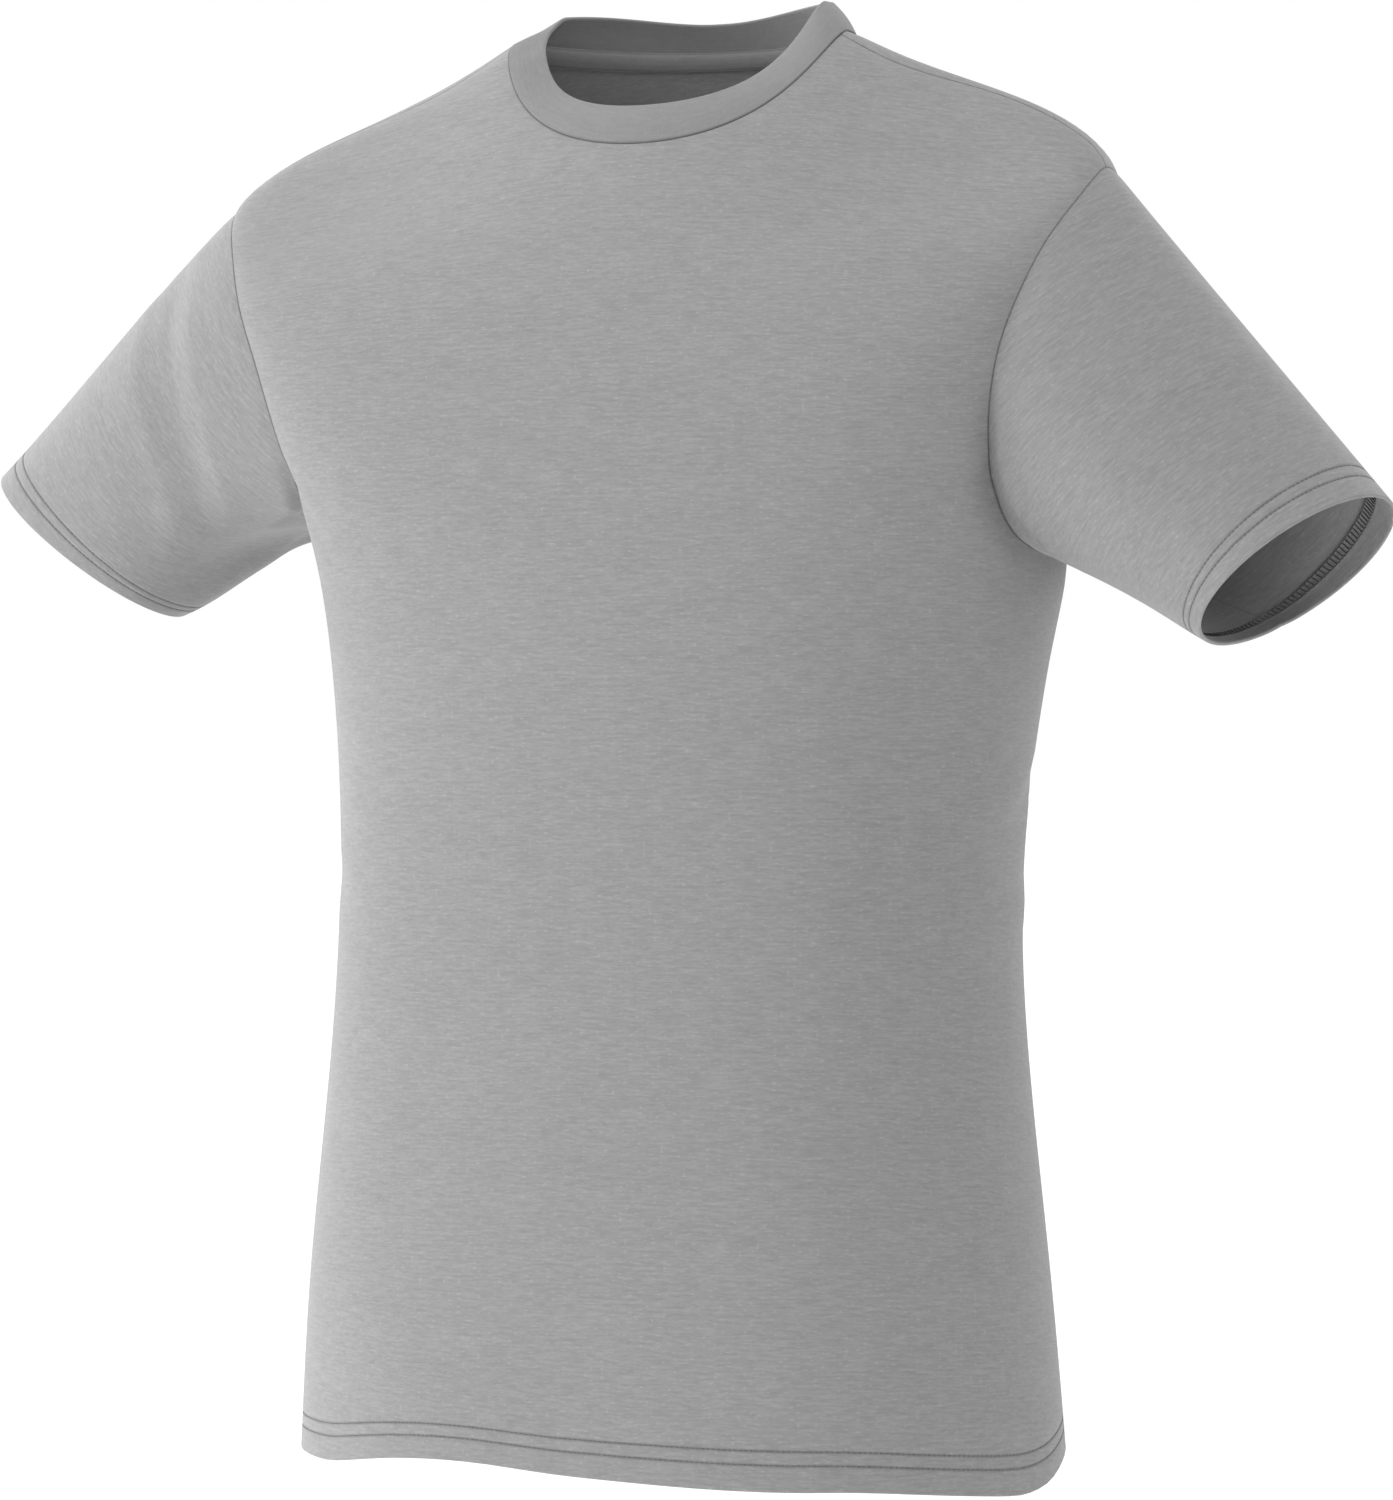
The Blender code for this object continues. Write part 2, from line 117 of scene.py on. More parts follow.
Ring = namedtuple(
    "Ring",
    "level half_width shift tilt side_y front_y back_y side_z front_z back_z square ridge seam_deg",
)
TRUNK = (
    Ring(0, 194, 0, 2, -3, -120, 114, -694.5, -689.5, -694, 0.03, 1.0, -17),  # hem
    Ring(90, 187, 0, 0, -7, -120, 103, -605, -602, -603, 0.03, 1.0, -17),  # hip
    Ring(194, 176.5, 0, 0, -8, -113, 93, -500, -498, -498, 0.03, 1.0, -17),
    Ring(283, 172.5, 0, 0, -5, -110, 95, -410, -410, -408, 0.03, 1.0, -17),  # waist
    Ring(365, 178, 1.5, -2, 0, -114, 110, -325, -330, -320, 0.03, 1.0, -17),
    Ring(435, 189.5, 3, -9, -4, -120, 120, -249, -262, -252, 0.04, 0.9, -15),  # underarm
    Ring(490, 204, 2, 0, -14, -119, 121, -194, -208, -188, 0.055, 0.8, -12),
    Ring(540, 219, -1, 2, -20, -112.5, 117.5, -134, -166, -138, 0.055, 0.6, 0),
    Ring(583, 228, -3, 3, -21, -101.5, 110.5, -77, -131, -98, 0.025, 0.52, 1.5),  # shoulder point
    Ring(606, 207.5, -1.5, 2.5, -14, -95.5, 104.5, -56, -117, -75, 0.015, 0.5, 3.5),
    Ring(640, 165, 0, 2.3, -8, -86.5, 93, -36, -98, -46, 0, 0.55, 4.5),
    Ring(675, 118, 0, 1, -5, -75, 80, -17, -76, -21, 0, 0.75, 8.5),
    Ring(700, 88, 0, -0.5, -3, -65, 70, -1.5, -58.5, -4, 0.0, 1.0, 8),  # collar seam
)
UNDERARM_LEVEL, SHOULDER_LEVEL, NECK_LEVEL = 435, 583, 700
PLAIN_COLUMNS = ("level", "square", "ridge", "seam_deg")
ARMHOLE_FRONT_DEG, ARMHOLE_BACK_DEG = 41, 25
ARMHOLE_SKEW, ARMHOLE_SQUARE = 0.06, 0.11
COLLAR_TOP = Ring(0, 72, 0.5, 1.5, 5, -51.5, 66, 13, -38.5, 13.5, 0.0, 0.71, 0)
COLLAR_BOW = 1.2 * MM
Lift = namedtuple("Lift", "angle_deg width_deg up_mm")
COLLAR_LIFTS = (Lift(-45, 47, 4), Lift(-147, 50, 4.5), Lift(173, 20, -7))
TAPE_BELOW_MM, TAPE_ABOVE_MM = 5, 4
# Levels by which a panel's rows dip and rise beside the armholes, and the power at which the slant
# of its edges fades towards its middle
ROW_DIP, ROW_RISE, EDGE_PULL = 30, 30, 0.5

Sleeve = namedtuple(
    "Sleeve", "side length drop forward cuff_long cuff_deep slant turn crown under bulge"
)
SLEEVES = {
    "sleeve_left": Sleeve(1, 209, 48.8, 9, 106.5, 113.5, 50, 14, -1, 4.5, 6),
    "sleeve_right": Sleeve(-1, 190, 42.9, -7, 120, 96, 52, -1, 2, 17, 2),
}
SLEEVE_ON = {sleeve.side: name for name, sleeve in SLEEVES.items()}
Wave = namedtuple("Wave", "angle_deg width_deg out_mm down_mm top_level")
HEM_WAVES = (
    Wave(-20, 29, -2, -8, 140),
    Wave(0, 18, 0, -3, 60),
    Wave(17, 40, 2, 8, 90),
    Wave(65, 41, 0, 5.5, 55),
    Wave(117, 25, 4, -4.5, 210),
    Wave(132, 28, -2, 3, 110),
)

# Soft creases.  On the trunk a fold's middle is a level and an angle; on a sleeve it is a share of
# the length and an angle round from the top.  lean turns its line from the way up the cloth, deep
# is how far in it goes, and below 0 it is a ridge.  SLEEVE_FORM holds the folds of the solids.  Of
# the right sleeve's creases the first takes its solid's large fold away, and the second lays it
# where it hangs, a little further up.  All fade out over NECK_FADE levels below the neck and over
# these shares of a sleeve at its ends.
NECK_FADE, ARMHOLE_FADE, CUFF_FADE = 40, 0.03, 0.12
Crease = namedtuple("Crease", "place angle_deg lean_deg long_mm wide_mm deep_mm")
SLEEVE_FORM = {
    "sleeve_left": (Crease(0.3, 205, 20, 120, 36, 3.0),),
    "sleeve_right": (
        Crease(0.42, 55, 70, 150, 46, 4.0),
        Crease(0.3, 200, 20, 120, 36, 3.0),
    ),
}
SLEEVE_CREASES = {
    "sleeve_left": (
        Crease(0.09, 124, 22, 44, 14, 1.6),
        Crease(0.17, 127, 80, 16, 5, 1.5),
        Crease(0.20, 126, 80, 16, 6, -1.3),
        Crease(0.11, 112, 24, 70, 18, -1.0),
        Crease(0.22, 150, 12, 90, 20, 1.0),
        Crease(0.30, 60, 8, 120, 34, 0.8),
        Crease(0.55, 95, 20, 110, 40, -0.7),
        Crease(0.35, 300, -14, 130, 30, 1.5),
        Crease(0.22, 262, -22, 100, 24, 1.6),
        Crease(0.28, 246, -18, 80, 20, -1.0),
        Crease(0.72, 220, 10, 70, 26, 0.9),
    ),
    "sleeve_right": (
        Crease(0.42, 55, 70, 150, 46, -4.0),
        Crease(0.335, 64, 70, 140, 46, 4.2),
        Crease(0.30, 34, 66, 90, 22, -0.8),
        Crease(0.05, 141, 8, 66, 20, 4.6),
        Crease(0.62, 100, 30, 100, 34, 0.9),
        Crease(0.30, 290, -16, 120, 32, 1.5),
        Crease(0.20, 255, -24, 100, 22, 1.6),
        Crease(0.55, 235, -8, 90, 30, -0.9),
    ),
}
TRUNK_CREASES = (
    # front: drag from the armpits, a slack fold over each side of the waist
    Crease(470, 30, 38, 120, 26, 1.0),
    Crease(505, 36, 26, 130, 30, -0.7),
    Crease(455, 146, -40, 120, 28, 1.0),
    Crease(330, 14, 68, 130, 30, 0.8),
    Crease(285, 160, -60, 140, 34, 0.9),
    Crease(160, 118, 12, 190, 44, 0.8),
    Crease(150, 96, 6, 220, 50, -0.5),
    Crease(140, 48, -8, 200, 52, 0.6),
    Crease(620, 62, 48, 90, 30, 0.5),
    # back
    Crease(462, -40, -40, 150, 34, 4.6),
    Crease(498, -50, -30, 150, 34, -2.2),
    Crease(452, -142, 42, 140, 32, 4.2),
    Crease(500, -130, 28, 140, 34, -2.0),
    Crease(330, -62, -16, 210, 44, 5.2),
    Crease(292, -114, 12, 230, 46, 4.8),
    Crease(250, -86, 4, 200, 40, -2.2),
    Crease(150, -70, -8, 200, 46, 4.2),
    Crease(140, -122, 12, 190, 44, 3.8),
    Crease(622, -90, 86, 150, 44, 2.0),
    # sides
    Crease(320, -8, 60, 110, 26, 1.5),
    Crease(270, -14, 72, 120, 30, -0.9),
    Crease(300, -170, -62, 120, 28, 1.4),
)

# Tucks in the armpits, where the armhole seam is drawn in: which armhole and where round it, how
# deep, how far along the seam it reaches and how wide it is
Tuck = namedtuple("Tuck", "side turn_deg deep_mm reach_mm wide_mm")
TUCKS = (
    Tuck(1, 118, 4.5, 36, 9),
    Tuck(1, 158, 3.0, 30, 16),
    Tuck(1, -125, 3.0, 42, 11),
    Tuck(-1, 132, 4.0, 36, 10),
    Tuck(-1, -122, 3.0, 42, 11),
)
TUCK_SHARE, SEAM_SHARE = 0.04, 0.03  # how far down a sleeve its direction by the seam is read


def natural_spline(knots, values, at):
    """Natural cubic spline through (knots, values), read at the points of the array at."""
    knots, values, at = (np.asarray(x, float) for x in (knots, values, at))
    steps = np.diff(knots)
    slopes = np.diff(values) / steps
    count = len(knots)
    system, right = np.eye(count), np.zeros(count)
    for i in range(1, count - 1):
        system[i, i - 1 : i + 2] = steps[i - 1], 2 * (steps[i - 1] + steps[i]), steps[i]
        right[i] = 6 * (slopes[i] - slopes[i - 1])
    bend = np.linalg.solve(system, right)
    i = np.clip(np.searchsorted(knots, at, side="right") - 1, 0, count - 2)
    h, a, b = steps[i], knots[i + 1] - at, at - knots[i]
    return (
        (bend[i] * a**3 + bend[i + 1] * b**3) / (6 * h)
        + (values[i] / h - bend[i] * h / 6) * a
        + (values[i + 1] / h - bend[i + 1] * h / 6) * b
    )


def in_metres(ring):
    """A ring whose lengths are metres instead of millimetres."""
    lengths = set(Ring._fields) - set(PLAIN_COLUMNS)
    return ring._replace(**{column: getattr(ring, column) * MM for column in lengths})


def ring_at(level):
    """The trunk's ring at these levels."""
    knots = [ring.level for ring in TRUNK]
    columns = (
        natural_spline(knots, [getattr(ring, column) for ring in TRUNK], level)
        for column in Ring._fields
    )
    return in_metres(Ring(*columns))


def seam_angle(level):
    """Angle of the side seam or shoulder seam at these levels."""
    return np.radians(ring_at(level).seam_deg)


def on_ring(ring, angle):
    """Points of a ring.  angle runs from the wearer's left, over the front, to the right and back."""
    across, along = np.cos(angle), np.sin(angle)
    fill = ring.square
    x = ring.shift + ring.half_width * (across - fill * np.cos(3 * angle)) / (1 - fill)
    reach = np.abs(along + fill * np.sin(3 * angle)) / (1 - fill)
    front = along > 0
    y = ring.side_y + (np.where(front, ring.front_y, ring.back_y) - ring.side_y) * reach
    drop = (1 + ring.ridge**2) * along**2 / (along**2 + ring.ridge**2)
    z = ring.side_z + (np.where(front, ring.front_z, ring.back_z) - ring.side_z) * drop
    return np.stack([x, y, z + ring.tilt * across], axis=-1)


def bell(x):
    """A smooth hump: 1 at 0, and 0 from -1 and 1 outwards."""
    return (1 - np.clip(x, -1, 1) ** 2) ** 2


def trunk(level, angle):
    """Points of the trunk's outer surface at these levels and angles."""
    level, angle = np.broadcast_arrays(np.asarray(level, float), np.asarray(angle, float))
    points = on_ring(ring_at(level), angle)
    for wave in HEM_WAVES:
        across = bell((angle - math.radians(wave.angle_deg)) / math.radians(wave.width_deg))
        amount = across * np.clip(1 - level / wave.top_level, 0, 1) ** 1.5 * MM
        move = [np.cos(angle) * wave.out_mm, -np.sin(angle) * wave.out_mm]
        move.append(np.full_like(angle, -wave.down_mm))
        points = points + np.stack(move, axis=-1) * amount[..., None]
    return points


def armhole(turn, side):
    """(level, angle) of the armhole's edge.  turn is 0 at the shoulder point, half a circle at the
    underarm, and runs down the front first."""
    middle = (SHOULDER_LEVEL + UNDERARM_LEVEL) / 2
    swing = (np.cos(turn) - ARMHOLE_SQUARE * np.cos(3 * turn)) / (1 - ARMHOLE_SQUARE)
    level = middle + (SHOULDER_LEVEL - UNDERARM_LEVEL) / 2 * swing
    top, bottom = seam_angle([SHOULDER_LEVEL, UNDERARM_LEVEL])
    widest = np.radians(np.where(np.sin(turn) > 0, ARMHOLE_FRONT_DEG, ARMHOLE_BACK_DEG))
    angle = bottom + (top - bottom) * (1 + np.cos(turn)) / 2
    angle = angle + widest * np.sin(turn) * (1 - ARMHOLE_SKEW * np.cos(turn))
    return level, angle if side > 0 else math.pi - angle


def cuff(sleeve, turn):
    """Points of the cuff's edge, turn running as it does on the armhole."""
    drop, forward = math.radians(sleeve.drop), math.radians(sleeve.forward)
    slant, twist = math.radians(sleeve.slant), math.radians(sleeve.turn)
    mirror = np.array([sleeve.side, 1, 1])
    level_way = np.array([math.cos(forward), -math.sin(forward), 0])
    level_axis = np.array([math.cos(twist), -math.sin(twist), 0])
    up = np.array([0, 0, 1])
    way = mirror * (level_way * math.cos(drop) - up * math.sin(drop))
    long_axis = mirror * (level_axis * math.sin(slant) + up * math.cos(slant))
    deep_axis = mirror * np.array([-math.sin(twist), -math.cos(twist), 0])
    half_long, half_deep = sleeve.cuff_long * MM / 2, sleeve.cuff_deep * MM / 2
    top = trunk(*armhole(0.0, sleeve.side)) + way * sleeve.length * MM
    turn = np.asarray(turn, float)[..., None]
    return top - long_axis * half_long * (1 - np.cos(turn)) + deep_axis * half_deep * np.sin(turn)


def crease_depth(crease, along, around):
    """How far in a crease goes at these distances, in millimetres, from its middle."""
    lean = math.radians(crease.lean_deg)
    length = along * math.cos(lean) + around * math.sin(lean)
    width = around * math.cos(lean) - along * math.sin(lean)
    shape = bell(2 * length / crease.long_mm) * bell(2 * width / crease.wide_mm)
    return crease.deep_mm * MM * shape


def round_gap(angle, angle_deg):
    """From an angle in degrees to these angles, the shorter way round."""
    gap = angle - math.radians(angle_deg)
    return (gap + math.pi) % (2 * math.pi) - math.pi


def sleeve_crease(sleeve, crease, share, turn):
    """How far in a crease of a sleeve goes at these points."""
    girth = math.pi * (sleeve.cuff_long + sleeve.cuff_deep) / 2
    along = (share - crease.place) * sleeve.length
    around = round_gap(turn, crease.angle_deg) / (2 * math.pi) * girth
    return crease_depth(crease, along, around)


def sleeve_form(name, share, turn):
    """Points of a sleeve's outer surface: share is 0 at the armhole and 1 at the cuff's edge."""
    sleeve = SLEEVES[name]
    share, turn = np.broadcast_arrays(np.asarray(share, float), np.asarray(turn, float))
    start, end = trunk_worn(*armhole(turn, sleeve.side)), cuff(sleeve, turn)
    outwards = end - (cuff(sleeve, 0.0) + cuff(sleeve, math.pi)) / 2
    outwards = outwards / np.linalg.norm(outwards, axis=-1, keepdims=True)
    top, bottom = ((1 + np.cos(turn)) / 2) ** 2, ((1 - np.cos(turn)) / 2) ** 2
    swell = sleeve.crown * top - sleeve.under * bottom + sleeve.bulge * np.sin(turn) ** 2
    swell = swell * MM * 6.75 * share * (1 - share) ** 2  # whole a third of the way down
    fade = np.clip(4 * share * (1 - share), 0, 1)
    for crease in SLEEVE_FORM[name]:
        swell = swell - sleeve_crease(sleeve, crease, share, turn) * fade
    return start + (end - start) * share[..., None] + outwards * swell[..., None]


def collar_form(share, angle):
    """Points of the collar's outer face: share is 0 at the seam and 1 at the folded top edge."""
    share, angle = np.broadcast_arrays(np.asarray(share, float), np.asarray(angle, float))
    seam, top = trunk(float(NECK_LEVEL), angle), on_ring(in_metres(COLLAR_TOP), angle)
    for lift in COLLAR_LIFTS:
        gap = round_gap(angle, lift.angle_deg)
        top[..., 2] += bell(gap / math.radians(lift.width_deg)) * lift.up_mm * MM
    outwards = np.stack([np.cos(angle), -np.sin(angle), np.full_like(angle, 0.5)], axis=-1)
    bow = (4 * share * (1 - share) * COLLAR_BOW)[..., None]
    return seam + (top - seam) * share[..., None] + outwards * bow


COLLAR_BAND = float(np.linalg.norm(collar_form(1, 0.0) - collar_form(0, 0.0)))


def normals(surface, rows, columns):
    """Directions square to a surface at the crossings of its rows and columns."""
    step = 1e-4
    up = surface(rows + step, columns) - surface(rows - step, columns)
    along = surface(rows, columns + step) - surface(rows, columns - step)
    square = np.cross(up, along)
    return square / np.linalg.norm(square, axis=-1, keepdims=True)


# -------------------------------- finer form of the cloth


def trunk_worn(level, angle):
    """The trunk with its creases."""
    level, angle = np.broadcast_arrays(np.asarray(level, float), np.asarray(angle, float))
    ring = ring_at(level)
    reach = (ring.half_width + np.abs(np.where(np.sin(angle) > 0, ring.front_y, ring.back_y))) / 2
    depth = np.zeros_like(level)
    for crease in TRUNK_CREASES:
        around = round_gap(angle, crease.angle_deg) * reach / MM
        depth = depth + crease_depth(crease, level - crease.place, -around)
    fade = np.clip((NECK_LEVEL - level) / NECK_FADE, 0, 1)
    return trunk(level, angle) - normals(trunk, level, angle) * (depth * fade)[..., None]


def sleeve_worn(name):
    """The surface of a sleeve with its creases."""
    sleeve = SLEEVES[name]

    def form(share, turn):
        return sleeve_form(name, share, turn)

    def surface(share, turn):
        share, turn = np.broadcast_arrays(np.asarray(share, float), np.asarray(turn, float))
        depth = np.zeros_like(share)
        for crease in SLEEVE_CREASES[name]:
            depth = depth + sleeve_crease(sleeve, crease, share, turn)
        depth = depth * np.clip(share / ARMHOLE_FADE, 0, 1)
        depth = depth * np.clip((1 - share) / CUFF_FADE, 0, 1)
        outwards = -normals(form, share, turn) * sleeve.side
        return form(share, turn) - outwards * depth[..., None]

    return surface


def level_rate(level, angle):
    """Levels in a millimetre of the trunk's cloth there."""
    rise = trunk(level, angle) - trunk(level - 1.0, angle)
    return MM / float(np.linalg.norm(rise))


HEM_RATE = level_rate(10, math.pi / 2)
FRONT_NECK_RATE = level_rate(NECK_LEVEL, math.pi / 2)
BACK_NECK_RATE = level_rate(NECK_LEVEL, -math.pi / 2)


def roll_in(distance_mm):
    """How far in cloth lies that rolls into a seam this far away, in millimetres."""
    near = np.clip(1 - distance_mm / ROLL_MM, 0, ROLL_SHARE)
    soft = PULL_DEEP_MM * np.exp(-((distance_mm / PULL_WIDE_MM) ** 2))
    return ROLL_MM * (1 - np.sqrt(1 - near**2)) + soft


def trough(distance_mm, deep_mm=0.32, wide_mm=0.75):
    """The furrow that a row of stitches draws."""
    return deep_mm * np.exp(-((distance_mm / wide_mm) ** 2))


def seam_shade(distance_mm, tuck=0.0):
    """Painted shade in a seam.  It is wider and darker where a tuck draws the seam in."""
    wide_mm = SEAM_DARK_MM * (1 + TUCK_WIDENS * tuck)
    return SEAM_SHADE * (1 + tuck) * np.exp(-((distance_mm / wide_mm) ** 2))


def row_shade(distance_mm):
    """Painted shade along the furrow of a row of stitches."""
    return ROW_SHADE * np.exp(-((distance_mm / ROW_DARK_MM) ** 2))


def tucked(points, from_armhole_mm):
    """How the tucks move these points, which lie this far from an armhole, and how much of a tuck
    lies there."""
    move, most = np.zeros_like(points), np.zeros(points.shape[:-1])
    for tuck in TUCKS:
        turn = math.radians(tuck.turn_deg)
        level, angle = armhole(turn, tuck.side)
        sleeve = sleeve_worn(SLEEVE_ON[tuck.side])
        outwards = normals(trunk, level, angle) - normals(sleeve, TUCK_SHARE, turn) * tuck.side
        outwards = outwards / np.linalg.norm(outwards)
        away = np.linalg.norm(points - trunk(level, angle), axis=-1) / MM
        amount = np.exp(-((away / tuck.reach_mm) ** 2) - (from_armhole_mm / tuck.wide_mm) ** 2)
        move = move - outwards * amount[..., None] * tuck.deep_mm * MM
        most = np.maximum(most, amount)
    return move, most


def nearest(points, line):
    """For each point, which of a line's close points is nearest, and how many millimetres off."""
    tree = KDTree(len(line))
    for i, point in enumerate(line):
        tree.insert(point, i)
    tree.balance()
    found = [tree.find(point)[1:] for point in points.reshape(-1, 3)]
    which = np.array([index for index, _ in found]).reshape(points.shape[:-1])
    return which, np.array([away for _, away in found]).reshape(points.shape[:-1]) / MM


def armhole_seam(side, turns):
    """Points along an armhole, and the directions midway between those square to both cloths."""
    level, angle = armhole(turns, side)
    sleeve = sleeve_worn(SLEEVE_ON[side])
    midway = normals(trunk_worn, level, angle) - normals(sleeve, SEAM_SHARE, turns) * side
    midway = midway / np.linalg.norm(midway, axis=-1, keepdims=True)
    return trunk_worn(level, angle), midway


def turned_in(outwards, midway, distance_mm):
    """The direction in which cloth has its thickness, turned the same way on both sides of a seam."""
    near = np.exp(-((distance_mm / SEAM_TURN_MM) ** 2))[..., None]
    turned = outwards * (1 - near) + midway * near
    return turned / np.linalg.norm(turned, axis=-1, keepdims=True)


def graded(total, first=0.3, growth=1.5, widest=8.0):
    """Distances from an edge whose steps grow from first to widest."""
    places, step = [0.0], first
    while places[-1] + step < total:
        places.append(places[-1] + step)
        step = min(step * growth, widest)
    places.append(total)
    return np.array(places)


def both_ways(total, **grades):
    """Places from -1 to 1, close together at both ends, on a line of twice total millimetres."""
    half = 1 - graded(total, **grades) / total
    return np.concatenate([-half, half[::-1][1:]])


def fold_round(distance_mm, thick_mm):
    """How far each face of a turned edge curves in towards the other."""
    half = thick_mm / 2
    near = np.clip(1 - distance_mm / half, 0, 1)
    return half * (1 - np.sqrt(1 - np.minimum(near, FOLD_SHARE) ** 2))


def dressed(points, outwards, midway, from_hole, from_seams, height, grain, over=1.0):
    """Outer and inner points of the cloth on a form, its cloth coordinates and each face's shade.

    All distances are in millimetres: from the armhole, from the nearest seam, and in height from
    the turned edge.  midway is armhole_seam's direction, and over narrows the tucks."""
    move, tuck = tucked(points, from_hole * over)
    points = points + move
    inwards = roll_in(from_seams)
    shade = seam_shade(from_seams, tuck)
    for row in STITCH_ROWS_MM:
        inwards = inwards + trough(height - row)
        shade = np.maximum(shade, row_shade(height - row))
    layers = 1.5 - 0.5 * np.tanh((height - HEM_MM) / TURNED_END_MM)
    thick = WALL_MM * layers
    curl = fold_round(height, 2 * WALL_MM)
    through = turned_in(outwards, midway, from_hole)
    outer = points - through * ((inwards + curl) * MM)[..., None]
    inner = points - through * ((inwards + thick - curl) * MM)[..., None]
    # the reverse above the turned-in layer is painted lighter, as light for the shirt's inside
    inner_shade = INNER_SHADE * shade - INSIDE_PAINTED_LIGHT * (2 - layers)
    return outer, inner, cloth_metres(points, outwards, grain), shade, inner_shade


def panel_grid(front):
    """Levels and angles of the front or the back: rows up from the hem, which dip below the
    armholes and rise over them, and columns from side seam to side seam."""
    hem = HEM_ROWS_MM * HEM_RATE
    lower = np.linspace(hem[-1], UNDERARM_LEVEL, PANEL_ROWS)[1:-1]
    turns = np.linspace(math.pi, 0, ARMHOLE_ROWS)
    reach = (NECK_LEVEL - SHOULDER_LEVEL) / FRONT_NECK_RATE
    below_neck = graded(reach, first=0.35, growth=1.4, widest=4.5)[::-1][1:]
    upper = NECK_LEVEL - below_neck / reach * (NECK_LEVEL - SHOULDER_LEVEL)
    open_level, front_angle = armhole(turns, 1)
    back_angle = armhole(-turns, 1)[1]
    below, above = seam_angle(np.append(hem, lower)), seam_angle(upper)
    edge_level = np.concatenate([hem, lower, open_level, upper])
    dip = ROW_DIP * ((lower - lower[0]) / (UNDERARM_LEVEL - lower[0])) ** 2
    beside = np.linspace(UNDERARM_LEVEL - ROW_DIP, SHOULDER_LEVEL + ROW_RISE, len(turns))
    rise = ROW_RISE * (NECK_LEVEL - upper) / (NECK_LEVEL - SHOULDER_LEVEL)
    level = np.concatenate([hem, lower - dip, beside, upper + rise])
    edge = np.concatenate([below, front_angle if front else back_angle, above])
    gap = SEAM_GAP_MM * MM / 2 / np.abs(ring_at(edge_level).front_y)
    edge = edge + gap if front else edge - gap
    across = both_ways(PANEL_HALF_MM)
    middle = math.pi / 2 if front else -math.pi / 2
    angle = middle * (1 + across) - edge[:, None] * across * np.abs(across) ** EDGE_PULL
    level = level[:, None] + (edge_level - level)[:, None] * np.abs(across) ** 3
    return level, angle


def plain_seams(front):
    """Points along a panel's side seams, shoulder seams and neck."""
    side = np.linspace(0, UNDERARM_LEVEL, SEAM_POINTS["side"])
    shoulder = np.linspace(SHOULDER_LEVEL, NECK_LEVEL, SEAM_POINTS["shoulder"])
    neck = np.linspace(0, math.pi if front else -math.pi, SEAM_POINTS["neck"])
    seams = [trunk_worn(float(NECK_LEVEL), neck)]
    for along in (side, shoulder):
        seams.append(trunk_worn(along, seam_angle(along)))
        seams.append(trunk_worn(along, math.pi - seam_angle(along)))
    return np.concatenate(seams)


def panel(front):
    """The front or the back, dressed."""
    level, angle = panel_grid(front)
    points, outwards = trunk_worn(level, angle), normals(trunk_worn, level, angle)
    turns = np.linspace(0, math.pi if front else -math.pi, SEAM_POINTS["armhole"])
    left_hole, left_midway = armhole_seam(1, turns)
    right_hole, right_midway = armhole_seam(-1, turns)
    which, from_armholes = nearest(points, np.concatenate([left_hole, right_hole]))
    midway = np.concatenate([left_midway, right_midway])[which]
    from_seams = np.minimum(from_armholes, nearest(points, plain_seams(front))[1])
    grain = trunk_grain(outwards, front)
    height = level / HEM_RATE
    return dressed(points, outwards, midway, from_armholes, from_seams, height, grain)


def cloth_metres(points, outwards, grain):
    """Metres across and up the flat cloth at a grid of points.  grain points up the cloth, and both
    are summed up the middle column and from there along each row."""
    up_way = grain - outwards * (grain * outwards).sum(axis=-1, keepdims=True)
    up_way = up_way / np.linalg.norm(up_way, axis=-1, keepdims=True)
    across_way = np.cross(up_way, outwards)
    ways = np.stack([across_way, up_way], axis=-2)
    middle = points.shape[1] // 2

    def steps(a, b, way_a, way_b):
        return ((way_a + way_b) / 2 * (b - a)[..., None, :]).sum(axis=-1)

    column, column_ways = points[:, middle], ways[:, middle]
    rise = steps(column[:-1], column[1:], column_ways[:-1], column_ways[1:])
    rise = np.concatenate([np.zeros((1, 2)), np.cumsum(rise, axis=0)])
    along = steps(points[:, :-1], points[:, 1:], ways[:, :-1], ways[:, 1:])
    along = np.concatenate([np.zeros((len(points), 1, 2)), np.cumsum(along, axis=1)], axis=1)
    return rise[:, None] + along - along[:, middle : middle + 1]


def trunk_grain(outwards, front):
    """Up the cloth of a panel: straight up, and over the shoulder where the cloth lies flat."""
    lie = np.clip(outwards[..., 2], 0, 1)
    over = lie if front else -lie
    return np.stack([0 * lie, over, np.sqrt(1 - lie**2) + 0.05], axis=-1)


